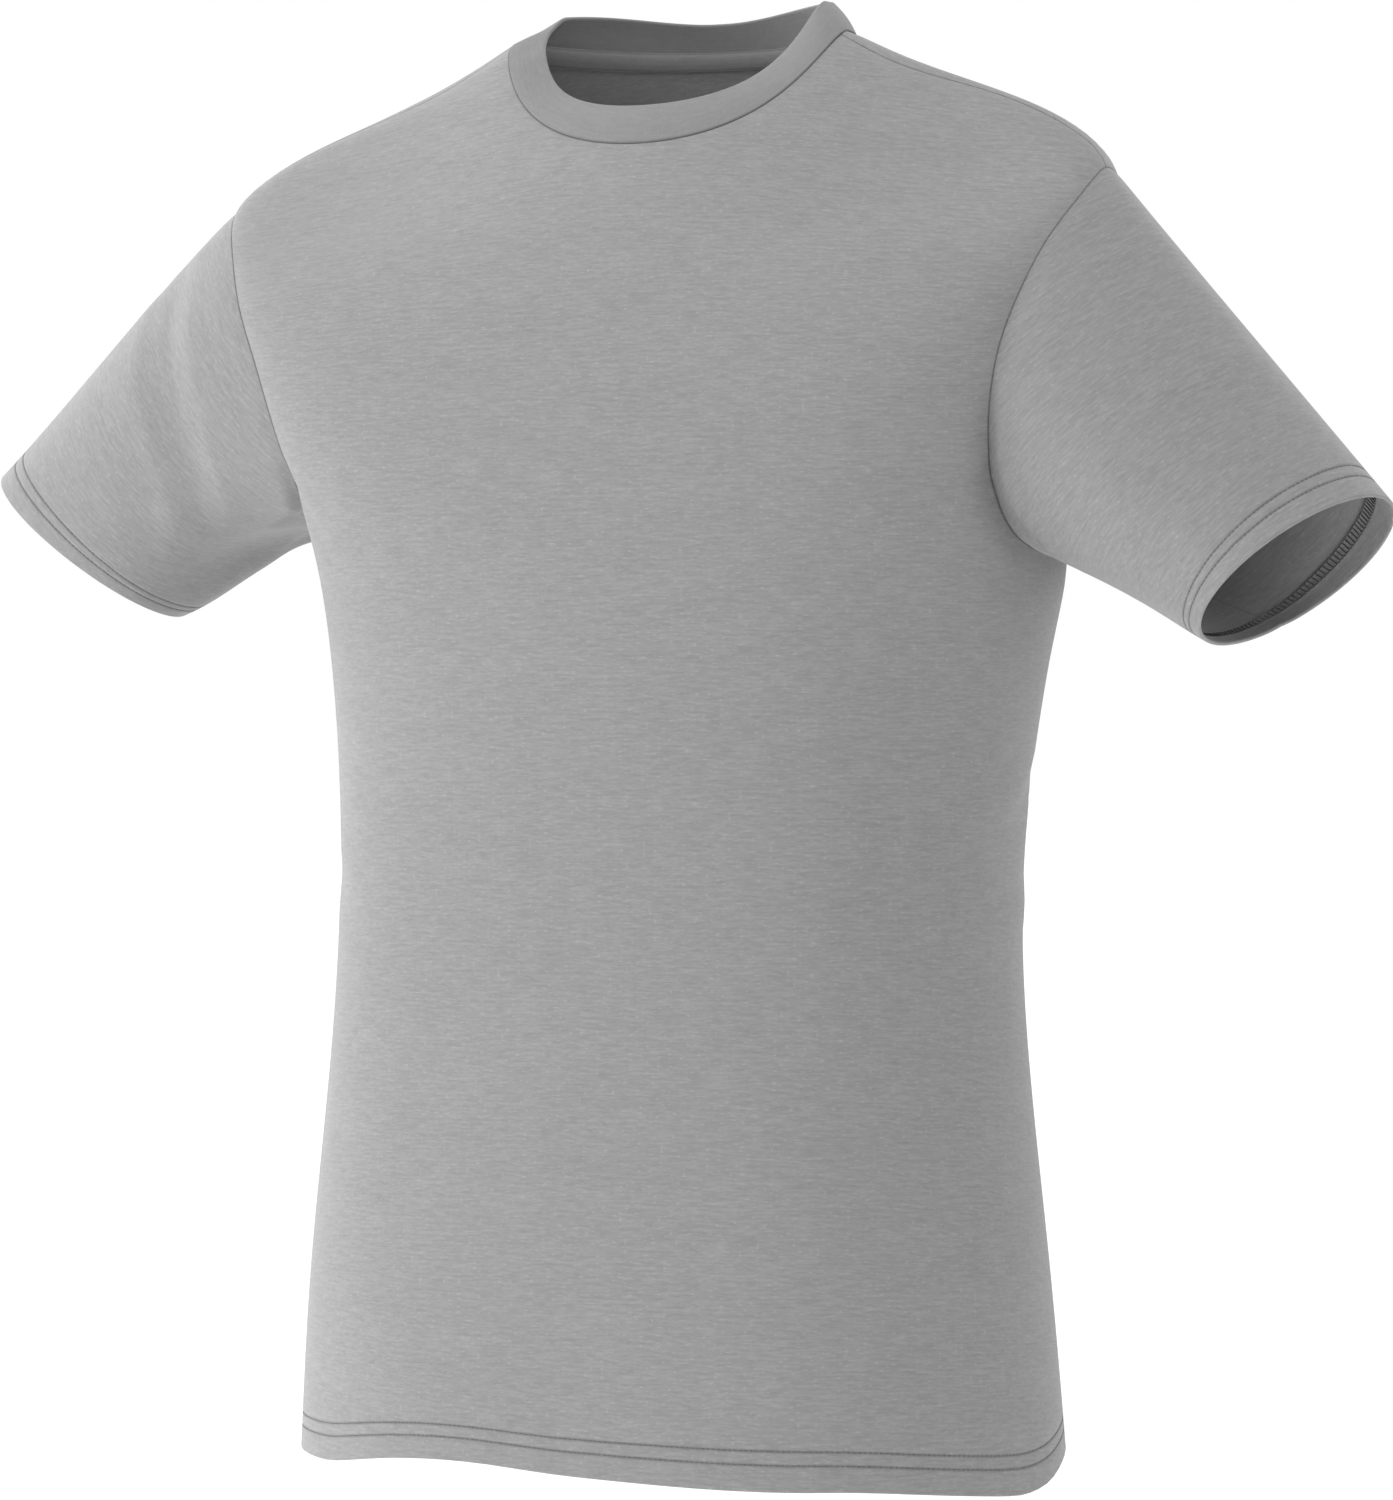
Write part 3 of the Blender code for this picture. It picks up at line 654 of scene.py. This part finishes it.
def sleeve_panel(name):
    """A sleeve, dressed: rows from the armhole to the cuff, columns round from its seam."""
    sleeve, surface = SLEEVES[name], sleeve_worn(name)
    upper = graded(SLEEVE_TOP_MM, first=0.35, widest=2.2)
    cuff_rows = sleeve.length - HEM_ROWS_MM[::-1] * CUFF_MM / HEM_MM
    between = np.arange(upper[-1] + SLEEVE_ROW_MM, cuff_rows[0] - SLEEVE_ROW_MM / 2, SLEEVE_ROW_MM)
    share = np.concatenate([upper, between, cuff_rows])[:, None] / sleeve.length
    share[0] = SEAM_GAP_MM / 2 / sleeve.length
    turn = math.pi * both_ways(SLEEVE_HALF_MM, widest=SLEEVE_COLUMN_MM)[None, :]
    edge = SEAM_GAP_MM / 2 / SLEEVE_RADIUS_MM
    turn = SLEEVE_SEAM_BACK + np.clip(turn, -math.pi + edge, math.pi - edge)
    points = surface(share, turn)
    outwards = -normals(surface, share, turn) * sleeve.side
    all_round = np.linspace(0, 2 * math.pi, 2 * SEAM_POINTS["armhole"])
    hole, midway = armhole_seam(sleeve.side, all_round)
    seam = surface(np.linspace(0, 1, SEAM_POINTS["sleeve"]), math.pi + SLEEVE_SEAM_BACK)
    which, from_hole = nearest(points, hole)
    from_seams = np.minimum(from_hole, nearest(points, seam)[1])
    height = (1 - share) * sleeve.length * HEM_MM / CUFF_MM + 0 * turn
    grain = surface(0.0, 0.0) - surface(1.0, 0.0) + 0 * outwards
    midway = midway[which]
    return dressed(points, outwards, midway, from_hole, from_seams, height, grain, SLEEVE_OVER)


def collar_section():
    """Points round the collar's wall, up the ribbed outside, over the fold and down the inside,
    with their cloth coordinates and shade."""
    seam = trunk(float(NECK_LEVEL), np.radians(np.arange(0, 360.5, 0.5)))
    girth = float(np.linalg.norm(np.diff(seam, axis=0), axis=-1).sum())
    ribs = round(girth / MM / RIB_PITCH_MM)
    columns = 4 * ribs
    angle = np.linspace(0, 2 * math.pi, columns, endpoint=False)[None, :]
    radius = RIB_WALL_MM * MM / 2
    rows = graded((COLLAR_BAND - radius) / MM, first=0.3, growth=1.6, widest=2.2)
    rows[0] = SEAM_GAP_MM / 2
    share = rows[:, None] * MM / COLLAR_BAND
    outwards = normals(collar_form, share, angle)
    rib = RIB_DEEP_MM * (0.5 - 0.5 * np.cos(ribs * angle))
    roll = np.where(rows < ROLL_MM, roll_in(rows), 0.0)[:, None]
    outer = collar_form(share, angle) - outwards * ((roll + rib) * MM)[..., None]
    inner = collar_form(share, angle) - outwards * ((RIB_WALL_MM - rib) * MM)[..., None]
    upwards = outer[-1] - outer[-2]
    upwards = upwards / np.linalg.norm(upwards, axis=-1, keepdims=True)
    centre = (outer[-1] + inner[-1]) / 2
    half = np.linalg.norm(outer[-1] - inner[-1], axis=-1)[:, None] / 2
    over = np.linspace(0, math.pi, 8)[1:-1, None, None]
    fold = centre + outwards[-1] * np.cos(over) * half + upwards * np.sin(over) * radius
    section = np.concatenate([outer, fold, inner[::-1]])
    steps = np.linalg.norm(np.diff(section, axis=0), axis=-1).mean(axis=1)
    up = np.concatenate([[0], np.cumsum(steps)])[:, None] + 0 * angle
    around = up * 0 + angle / (2 * math.pi) * girth
    from_seam = np.concatenate([rows, np.full(len(over), COLLAR_BAND / MM), rows[::-1]])
    # painted shade along the collar's seam
    shade = np.exp(-((from_seam / COLLAR_DARK_MM) ** 2))
    return section, np.stack([around, up], axis=-1), shade[:, None] + 0 * angle


def tape_grid():
    """The neck tape, lowest row first: the points of the face that lies on the collar seam and of
    the one that shows, with their cloth coordinates and shades."""
    left = float(seam_angle(NECK_LEVEL))
    angle = np.linspace(-math.pi - left, left, 181)[None, :]
    down = np.array([TAPE_BELOW_MM, 4.7, 4.2, 3.8, 3.4, 2.4, 1.4, 0.6])[:, None]
    up = np.array([0.3, 1, 1.6, 2.2, 2.6, 3.0, 3.4, 3.8, TAPE_ABOVE_MM])[:, None]
    level, share = NECK_LEVEL - BACK_NECK_RATE * down, up * MM / COLLAR_BAND
    outer = np.concatenate([trunk(level, angle), collar_form(share, angle)])
    inwards = -np.concatenate([normals(trunk, level, angle), normals(collar_form, share, angle)])
    place = np.concatenate([-down, up])
    from_edge = np.minimum(place + TAPE_BELOW_MM, TAPE_ABOVE_MM - place)
    thick = TAPE_WALL_MM - trough(from_edge, deep_mm=0.25, wide_mm=0.4)
    neck_radius = 0.085
    metres = np.stack([angle * neck_radius + 0 * place, place * MM + 0 * angle], axis=-1)
    shade = np.zeros(metres.shape[:-1])
    for row in TAPE_STITCHES_MM:
        thick = thick - trough(place - row, deep_mm=0.25, wide_mm=0.5)
        # painted shade along the furrow of each row of stitches
        dark = TAPE_SHADE * np.exp(-(((place - row) / TAPE_DARK_MM) ** 2))
        shade = np.maximum(shade, dark + 0 * angle)
    clear = TAPE_CLEAR_MM * MM
    near = outer + inwards * clear
    far = outer + inwards * (clear + thick * MM)[..., None]
    return near, far, metres, 0 * shade, shade


# -------------------------------- meshes


def finish_mesh(name, points, faces, material, metres=None, shade=None):
    """A smooth piece of these points and faces, riding on the root."""
    data = bpy.data.meshes.new(name)
    data.from_pydata(points.reshape(-1, 3).tolist(), [], faces)
    if metres is not None:
        layer = data.uv_layers.new(name="cloth")
        corners = np.empty(len(data.loops), dtype=np.int32)
        data.loops.foreach_get("vertex_index", corners)
        layer.uv.foreach_set("vector", metres.reshape(-1, 2)[corners].astype(np.float32).ravel())
        # painted shade in seams and furrows, and painted light below 0 on inner faces
        values = data.attributes.new("shade", "FLOAT", "POINT")
        values.data.foreach_set("value", shade.astype(np.float32).ravel())
    mesh = bmesh.new()
    mesh.from_mesh(data)
    bmesh.ops.recalc_face_normals(mesh, faces=mesh.faces)
    mesh.to_mesh(data)
    mesh.free()
    data.materials.append(material)
    data.shade_smooth()
    obj = bpy.data.objects.new(name, data)
    bpy.context.scene.collection.objects.link(obj)
    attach(obj, "root")
    return obj


def grid_faces(rows, columns, round_rows, round_columns):
    """Faces of a grid of points, joined end to end where it is round."""
    faces = []
    for r in range(rows if round_rows else rows - 1):
        s = (r + 1) % rows
        for c in range(columns if round_columns else columns - 1):
            d = (c + 1) % columns
            faces.append((r * columns + c, r * columns + d, s * columns + d, s * columns + c))
    return faces


def wall(name, outer, inner, metres, shade, inner_shade, material, slot):
    """A closed wall of cloth between two grids of points, with a rim on all four sides."""
    count, columns = outer.shape[:2]
    section = np.concatenate([outer, inner[::-1]])
    faces = grid_faces(2 * count, columns, True, False)
    for column in (0, columns - 1):
        for r in range(count - 1):
            a, b = r * columns + column, (r + 1) * columns + column
            c, d = (2 * count - 2 - r) * columns + column, (2 * count - 1 - r) * columns + column
            faces.append((a, b, c, d))
    metres = np.concatenate([metres, metres[::-1]])
    shade = np.concatenate([shade, inner_shade[::-1]])
    return finish_mesh(name, section, faces, material, metres, shade)


def strands(name, paths, upwards, radius_mm, material):
    """Threads along paths, an array of (strand, point, 3), with the cloth's outward direction."""
    ahead = np.roll(paths, -1, axis=1) - np.roll(paths, 1, axis=1)
    ahead[:, 0] = paths[:, 1] - paths[:, 0]
    ahead[:, -1] = paths[:, -1] - paths[:, -2]
    ahead = ahead / np.linalg.norm(ahead, axis=-1, keepdims=True)
    beside = np.cross(ahead, upwards)
    beside = beside / np.linalg.norm(beside, axis=-1, keepdims=True)
    over = np.cross(beside, ahead)
    count, length = paths.shape[:2]
    radius = np.full(length, radius_mm * MM)
    radius[[0, -1]] *= THREAD_END
    around = np.linspace(0, 2 * math.pi, THREAD_SIDES, endpoint=False)[:, None]
    ring = beside[:, :, None] * np.cos(around) + over[:, :, None] * np.sin(around)
    points = paths[:, :, None] + ring * radius[None, :, None, None]
    corners = length * THREAD_SIDES
    base = grid_faces(length, THREAD_SIDES, False, True)
    base.append(tuple(range(THREAD_SIDES)))
    base.append(tuple(range(corners - THREAD_SIDES, corners)))
    faces = [tuple(i + k * corners for i in face) for k in range(count) for face in base]
    return finish_mesh(name, points, faces, material)


def even_places(surface_line, pitch_mm):
    """Parameters from 0 to 1 of evenly spaced stitches on a line, and one stitch's share of it."""
    fine = np.linspace(0, 1, 4001)
    steps = np.linalg.norm(np.diff(surface_line(fine), axis=0), axis=-1)
    length = np.concatenate([[0], np.cumsum(steps)])
    count = round(length[-1] / MM / pitch_mm)
    return np.interp(np.arange(count) / count * length[-1], length, fine), 1 / count


def stitch_row(surface, outward, row_at, span):
    """One row of stitches: each dips into the cloth at both its ends."""
    start, step = even_places(lambda t: surface(row_at, span(t)), STITCH_PITCH_MM)
    share = (1 - STITCH_GAP_MM / STITCH_PITCH_MM) * step
    bits = np.linspace(0, 1, 5)[None, :]
    turn = span(start[:, None] + bits * share)
    lift = np.array(STITCH_LIFT_MM)[None, :, None] * MM
    rows = np.full_like(turn, row_at)
    out = outward(rows, turn)
    return surface(rows, turn) + out * lift, out


def looper_row(surface, outward, low, high, span, depth_mm):
    """The threads that cover the turned edge inside: a rung at each stitch, and both rails."""
    start, step = even_places(lambda t: surface(low, span(t)), STITCH_PITCH_MM)
    turn = span(start[:, None] + np.array(LOOPER_AHEAD)[None, :] * step)
    rows = low + (high - low) * np.array(LOOPER_ACROSS)[None, :] + 0 * turn
    out = outward(rows, turn)
    return surface(rows, turn) - out * depth_mm * MM, -out


def inside_of(form, depth_mm):
    """The surface that lies this deep inside a form."""
    return lambda rows, columns: form(rows, columns) - normals(form, rows, columns) * depth_mm * MM


# -------------------------------- materials


# Grains of noise on the cloth: how long along the courses, how high, how fine and which part
Grain = namedtuple("Grain", "along_mm up_mm detail shift")
LONG_STREAKS, SHORT_STREAKS = Grain(14, 1.6, 2.0, 0.0), Grain(5, 1.25, 1.0, 7.3)
CLOUDS, FLECKS = Grain(60, 14, 2.0, 3.1), Grain(2.8, 0.9, 0.0, 11.7)


class Nodes:
    """A short hand for node trees."""

    def __init__(self, name):
        self.material = bpy.data.materials.new(name)
        self.material.use_nodes = True
        self.tree = self.material.node_tree
        self.shader = self.tree.nodes["Principled BSDF"]

    def add(self, kind, inputs=(), **settings):
        node = self.tree.nodes.new(kind)
        for key, value in settings.items():
            setattr(node, key, value)
        for key, value in dict(inputs).items():
            if hasattr(value, "is_output"):
                self.tree.links.new(value, node.inputs[key])
            else:
                node.inputs[key].default_value = value
        return node

    def math(self, operation, a, b=0.0, c=0.0):
        return self.add("ShaderNodeMath", {0: a, 1: b, 2: c}, operation=operation).outputs[0]

    def noise(self, cloth, grain):
        """Noise of one grain on the cloth."""
        scale = (1 / MM / grain.along_mm, 1 / MM / grain.up_mm, 1)
        place = {"Vector": cloth, "Location": (grain.shift, grain.shift, 0), "Scale": scale}
        scaled = self.add("ShaderNodeMapping", place).outputs[0]
        return self.add(
            "ShaderNodeTexNoise",
            {"Vector": scaled, "Scale": 1.0, "Detail": grain.detail, "Roughness": 0.6},
            noise_dimensions="2D",
        ).outputs[0]

    def level(self, value, low, high, to_low, to_high):
        """The value that runs from to_low to to_high while this one runs from low to high."""
        return self.add(
            "ShaderNodeMapRange",
            {"Value": value, "From Min": low, "From Max": high, "To Min": to_low, "To Max": to_high},
        ).outputs[0]

    def about(self, noise, middle, share):
        """Noise between middle less this share of it and middle more the same share."""
        return self.level(noise, 0.3, 0.7, middle * (1 - share), middle * (1 + share))

    def paint(self, grey):
        """Makes the colour this grey."""
        colour = self.add("ShaderNodeCombineColor", {0: grey, 1: grey, 2: grey}).outputs[0]
        self.tree.links.new(colour, self.shader.inputs["Base Color"])

    def set(self, **values):
        """Sets the shader's inputs, named with _ for each blank."""
        for key, value in values.items():
            self.shader.inputs[key.replace("_", " ")].default_value = value


def cloth_material(name, grey, sheen, wale_mm, streak=1.0, knit=0.2):
    """Heather yarn: light and dark fibres drawn out along the courses, over a knitted ground."""
    nodes = Nodes(name)
    cloth = nodes.add("ShaderNodeUVMap", uv_map="cloth").outputs[0]
    shade = nodes.add("ShaderNodeAttribute", attribute_name="shade").outputs["Fac"]
    short_streaks = nodes.noise(cloth, SHORT_STREAKS)
    tone = nodes.about(nodes.noise(cloth, LONG_STREAKS), 1.0, 0.07 * streak)
    tone = nodes.math("MULTIPLY", tone, nodes.about(short_streaks, 1.0, 0.05 * streak))
    tone = nodes.math("MULTIPLY", tone, nodes.about(nodes.noise(cloth, CLOUDS), 1.0, 0.02))
    flecks = nodes.level(nodes.noise(cloth, FLECKS), 0.72, 0.82, 0.0, 0.16 * streak)
    tone = nodes.math("ADD", tone, flecks)
    # painted shade and painted light from the shade attribute
    tone = nodes.math("MULTIPLY", tone, nodes.math("MULTIPLY_ADD", shade, -SHADE_DARK, 1.0))
    nodes.paint(nodes.math("MULTIPLY", tone, grey))
    # loops of the knit: columns of slanted legs, with courses 0.8 of a column's width apart
    along = nodes.add("ShaderNodeSeparateXYZ", {0: cloth}).outputs
    column = nodes.math("MULTIPLY", along[0], 1 / MM / wale_mm)
    slant = nodes.math("PINGPONG", column, 0.5)
    course = nodes.math("MULTIPLY_ADD", along[1], 1 / MM / (0.8 * wale_mm), slant)
    leg = nodes.math("SINE", nodes.math("MULTIPLY", course, 2 * math.pi))
    wale = nodes.math("SINE", nodes.math("MULTIPLY", column, 2 * math.pi))
    height = nodes.math("MULTIPLY_ADD", wale, 0.6, leg)
    height = nodes.math("MULTIPLY_ADD", short_streaks, 2.0, height)
    bump = nodes.add(
        "ShaderNodeBump", {"Height": height, "Strength": knit, "Distance": 0.0001}
    ).outputs[0]
    nodes.tree.links.new(bump, nodes.shader.inputs["Normal"])
    nodes.set(Roughness=0.88, Specular_IOR_Level=0.2)
    nodes.set(Sheen_Weight=sheen, Sheen_Roughness=0.45, Sheen_Tint=(0.9, 0.9, 0.9, 1))
    return nodes.material


def thread_material(name, grey):
    """Twisted sewing thread."""
    nodes = Nodes(name)
    place = nodes.add("ShaderNodeTexCoord").outputs["Object"]
    twist = nodes.add("ShaderNodeTexNoise", {"Vector": place, "Scale": 1500.0, "Detail": 1.0})
    nodes.paint(nodes.about(twist.outputs[0], grey, 0.25))
    nodes.set(Roughness=0.7, Sheen_Weight=0.1)
    return nodes.material


JERSEY_WALE_MM = 0.75
JERSEY = cloth_material("heather_jersey", grey=0.21, sheen=0.22, wale_mm=JERSEY_WALE_MM)
RIB = cloth_material(
    "heather_rib", grey=0.188, sheen=0.22, wale_mm=RIB_PITCH_MM, streak=0.55, knit=0.15
)
TAPE = cloth_material("neck_tape_jersey", grey=0.25, sheen=0.1, wale_mm=JERSEY_WALE_MM, streak=0.5)
THREAD = thread_material("thread", grey=0.1)
LOOPER = thread_material("looper_thread", grey=0.06)

# -------------------------------- the shirt


def outwards_of(surface, sign=1):
    """The directions square to a surface, as a function; sign -1 turns them round."""
    return lambda rows, columns: normals(surface, rows, columns) * sign


front = wall("front_cloth", *panel(True), JERSEY, "jersey")
back = wall("back_cloth", *panel(False), JERSEY, "jersey")
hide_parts("front")
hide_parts("back")

hem_out = outwards_of(trunk_worn)


def round_trunk(t):
    """Angles all round the trunk, for t from 0 to 1."""
    return -math.pi + 2 * math.pi * np.asarray(t)


def round_sleeve(t):
    """Angles round a sleeve, for t from 0 to 1, with a small gap between the first and the last."""
    gap = 0.01
    return gap + 2 * (math.pi - gap) * np.asarray(t)


hem_levels = [height * HEM_RATE for height in STITCH_ROWS_MM]
for number, level in enumerate(hem_levels, 1):
    paths, out = stitch_row(trunk_worn, hem_out, level, round_trunk)
    strands(f"hem_stitches_{number}", paths, out, THREAD_MM, THREAD)
paths, out = looper_row(trunk_worn, hem_out, *hem_levels, round_trunk, LOOPER_DEEP_MM)
strands("hem_looper", paths, out, LOOPER_MM, LOOPER)

for name, sleeve in SLEEVES.items():
    piece = wall(f"{name}_cloth", *sleeve_panel(name), JERSEY, "jersey")
    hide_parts(name)
    surface = sleeve_worn(name)
    out_of = outwards_of(surface, -sleeve.side)
    shares = [1 - height * CUFF_MM / HEM_MM / sleeve.length for height in STITCH_ROWS_MM]
    for number, share in enumerate(shares, 1):
        paths, out = stitch_row(surface, out_of, share, round_sleeve)
        row = f"{name}_stitches_{number}"
        strands(row, paths, out, THREAD_MM, THREAD)
    paths, out = looper_row(surface, out_of, *shares, round_sleeve, LOOPER_DEEP_MM)
    strands(f"{name}_looper", paths, out, LOOPER_MM, LOOPER)

section, metres, shade = collar_section()
collar_faces = grid_faces(*section.shape[:2], True, True)
collar = finish_mesh("collar_rib", section, collar_faces, RIB, metres, shade)
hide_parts("collar")
tape = wall("neck_tape_cloth", *tape_grid(), TAPE, "tape")
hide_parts("neck_tape")


def along_tape(t):
    """Angles along the neck tape, for t from 0 to 1, a little short of its ends."""
    left = float(seam_angle(NECK_LEVEL)) - 0.02
    return -math.pi - left + (math.pi + 2 * left) * np.asarray(t)


tape_rows = (
    ("low", trunk, NECK_LEVEL + BACK_NECK_RATE * TAPE_STITCHES_MM[0]),
    ("high", collar_form, TAPE_STITCHES_MM[1] * MM / COLLAR_BAND),
)
for name, form, row in tape_rows:
    face = inside_of(form, TAPE_CLEAR_MM + TAPE_WALL_MM - TAPE_STITCH_IN_MM)
    paths, out = stitch_row(face, outwards_of(form, -1), row, along_tape)
    strands(f"tape_stitches_{name}", paths, out, THREAD_MM, LOOPER)

# -------------------------------- studio

CAMERA_TURN = math.radians(22)  # round to the wearer's left of straight in front
CAMERA_FAR = 2.7  # metres from the origin, seen from above
CAMERA_HIGH = -0.3228
CAMERA_ASIDE = -0.0066  # how far the origin lies to its right
LONG_SIDE_PX, FOCAL_PX, HORIZON_ABOVE_PX = 1500, 5508, 55
SENSOR_MM = 36.0
FLOOR_BELOW, FLOOR_RADIUS = 0.75, 60  # metres, under the lowest point of the solids

data = bpy.data.cameras.new("camera")
data.sensor_width = SENSOR_MM
data.lens = SENSOR_MM * FOCAL_PX / LONG_SIDE_PX
data.clip_start, data.clip_end = 0.05, 200
camera = bpy.data.objects.new("camera", data)
right = np.array([math.cos(CAMERA_TURN), math.sin(CAMERA_TURN), 0])
ahead = np.array([-math.sin(CAMERA_TURN), math.cos(CAMERA_TURN), 0])
camera.location = -ahead * CAMERA_FAR - right * CAMERA_ASIDE + np.array([0, 0, CAMERA_HIGH])
pitch = math.atan(HORIZON_ABOVE_PX / FOCAL_PX)
camera.rotation_euler = (math.pi / 2 - pitch, 0, CAMERA_TURN)
bpy.context.scene.collection.objects.link(camera)
bpy.context.scene.camera = camera

# Soft round lights: metres to the camera's right, towards it and up from the shirt's middle
Light = namedtuple("Light", "name aside near up size watts")
LIGHTS = (
    Light("key", -3.0, 0.2, 0.2, 1.6, 74),
    Light("front", 0, 3.0, 0.2, 1.6, 3),
    Light("top", 0, 0.2, 2.9, 1.6, 35),
    Light("rim", 2.3, -1.7, 0.9, 1.2, 6),
    Light("back", -2.1, -1.9, 0.7, 1.2, 20),
)
SHIRT_MIDDLE = np.array([0, 0, -0.35])
for light in LIGHTS:
    lamp = bpy.data.lights.new(light.name, "AREA")
    lamp.shape = "DISK"
    lamp.size = light.size
    lamp.energy = light.watts
    obj = bpy.data.objects.new(light.name, lamp)
    away = right * light.aside - ahead * light.near + np.array([0, 0, light.up])
    obj.location = SHIRT_MIDDLE + away
    yaw = math.atan2(-away[1], -away[0])
    rise = math.atan2(-away[2], math.hypot(away[0], away[1]))
    obj.rotation_euler = (math.pi / 2 + rise, 0, yaw - math.pi / 2)
    bpy.context.scene.collection.objects.link(obj)

world = bpy.data.worlds.new("studio")
bpy.context.scene.world = world
world.use_nodes = True
sky = world.node_tree.nodes["Background"]
sky.inputs["Color"].default_value = (1, 1, 1, 1)
sky.inputs["Strength"].default_value = 1.0

floor_mesh = bmesh.new()
bmesh.ops.create_circle(floor_mesh, cap_ends=True, segments=96, radius=FLOOR_RADIUS)
data = bpy.data.meshes.new("floor")
floor_mesh.to_mesh(data)
floor_mesh.free()
floor = bpy.data.objects.new("floor", data)
floor.location = (0, 0, cad_low.z - FLOOR_BELOW)
pale = Nodes("pale_floor")
pale.set(Base_Color=(0.9, 0.9, 0.9, 1), Roughness=0.9)
pale.set(Emission_Color=(1, 1, 1, 1), Emission_Strength=0.25)
data.materials.append(pale.material)
bpy.context.scene.collection.objects.link(floor)

bpy.context.scene.view_settings.view_transform = "Standard"
bpy.context.scene.view_settings.look = "None"
